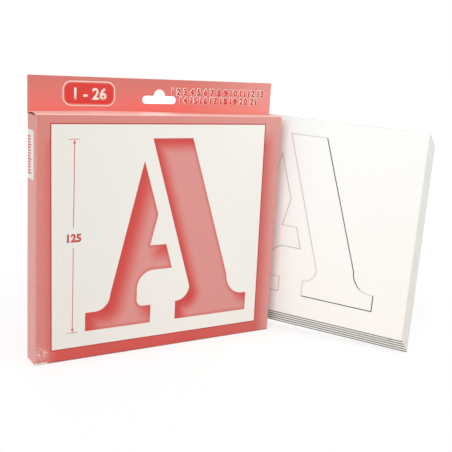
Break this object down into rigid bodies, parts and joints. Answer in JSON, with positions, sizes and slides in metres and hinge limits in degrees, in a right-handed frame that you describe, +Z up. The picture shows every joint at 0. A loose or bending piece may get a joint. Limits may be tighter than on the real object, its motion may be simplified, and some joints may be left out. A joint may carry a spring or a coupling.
{
  "type": "lettering stencil",
  "caption": "Set of die-cut card lettering stencils in a hanging tuck-top carton, with a short stack of the cards standing beside it.",
  "frame": {"origin": "middle of the carton's base", "axes": "+Z up the carton, -Y out of its front panel, +X to the right as its front is seen"},
  "size_m": [0.2576, 0.1525, 0.189],
  "materials": {
    "printed_board": "printed, semi-matt varnish",
    "raw_board": "uncoated grey-white back of folding board",
    "card_white": "smooth uncoated white card"
  },
  "bodies": {
    "carton": {"front_panel": "printed_board", "back_panel": "printed_board", "left_side": "printed_board", "right_side": "printed_board", "seam_strip": "raw_board", "header_ply": "printed_board", "bottom_outer_flap": "printed_board", "bottom_inner_flap": "raw_board", "bottom_dust_left": "raw_board", "bottom_dust_right": "raw_board", "stencil_f": "card_white", "stencil_g": "card_white", "stencil_h": "card_white", "stencil_i": "card_white", "stencil_j": "card_white", "stencil_k": "card_white", "stencil_l": "card_white", "stencil_m": "card_white", "stencil_n": "card_white", "stencil_o": "card_white", "stencil_p": "card_white", "stencil_q": "card_white", "stencil_r": "card_white", "stencil_s": "card_white", "stencil_t": "card_white", "stencil_u": "card_white", "stencil_v": "card_white", "stencil_w": "card_white", "stencil_x": "card_white", "stencil_y": "card_white", "stencil_z": "card_white"},
    "lid": {"lid_panel": "printed_board"},
    "tuck": {"tuck_flap": "printed_board"},
    "dust_left": {"top_dust_left": "raw_board"},
    "dust_right": {"top_dust_right": "raw_board"},
    "card_a": {"stencil_a": "card_white"},
    "slug_left": {"letter_a_left": "card_white"},
    "slug_right": {"letter_a_right": "card_white"},
    "card_b": {"stencil_b": "card_white"},
    "card_c": {"stencil_c": "card_white"},
    "card_d": {"stencil_d": "card_white"},
    "card_e": {"stencil_e": "card_white"}
  },
  "joints": [
    {"name": "lid_fold", "type": "hinge", "parent": "carton", "child": "lid", "pos_m": [0, -0.009, 0.166], "axis": [1, 0, 0], "range_deg": [0, 100]},
    {"name": "tuck_fold", "type": "hinge", "parent": "lid", "child": "tuck", "pos_m": [0, 0.00705, 0.1655], "axis": [-1, 0, 0], "range_deg": [0, 85.01]},
    {"name": "dust_fold_left", "type": "hinge", "parent": "carton", "child": "dust_left", "pos_m": [-0.0925, 0, 0.1652], "axis": [0, -1, 0], "range_deg": [0, 35.01]},
    {"name": "dust_fold_right", "type": "hinge", "parent": "carton", "child": "dust_right", "pos_m": [0.0925, 0, 0.1652], "axis": [0, 1, 0], "range_deg": [0, 35.01]},
    {"name": "card_a_lift", "type": "slide", "parent": "carton", "child": "card_a", "axis": [0.0139, -0.0222, 0.9997], "range_m": [0, 0.06]},
    {"name": "card_b_lift", "type": "slide", "parent": "carton", "child": "card_b", "axis": [0.0139, -0.0222, 0.9997], "range_m": [0, 0.06]},
    {"name": "card_c_lift", "type": "slide", "parent": "carton", "child": "card_c", "axis": [0.0139, -0.0222, 0.9997], "range_m": [0, 0.06]},
    {"name": "card_d_lift", "type": "slide", "parent": "carton", "child": "card_d", "axis": [0.0139, -0.0222, 0.9997], "range_m": [0, 0.06]},
    {"name": "card_e_lift", "type": "slide", "parent": "carton", "child": "card_e", "axis": [0.0139, -0.0222, 0.9997], "range_m": [0, 0.06]},
    {"name": "letter_left_press", "type": "slide", "parent": "card_a", "child": "slug_left", "axis": [-0.848, -0.5299, 0], "range_m": [0, 0.003]},
    {"name": "letter_right_press", "type": "slide", "parent": "card_a", "child": "slug_right", "axis": [-0.848, -0.5299, 0], "range_m": [0, 0.003]}
  ],
  "couplings": [
    {"joint": "tuck_fold", "follows": "lid_fold", "ratio": 0.85},
    {"joint": "dust_fold_left", "follows": "lid_fold", "ratio": 0.35},
    {"joint": "dust_fold_right", "follows": "lid_fold", "ratio": 0.35}
  ]
}
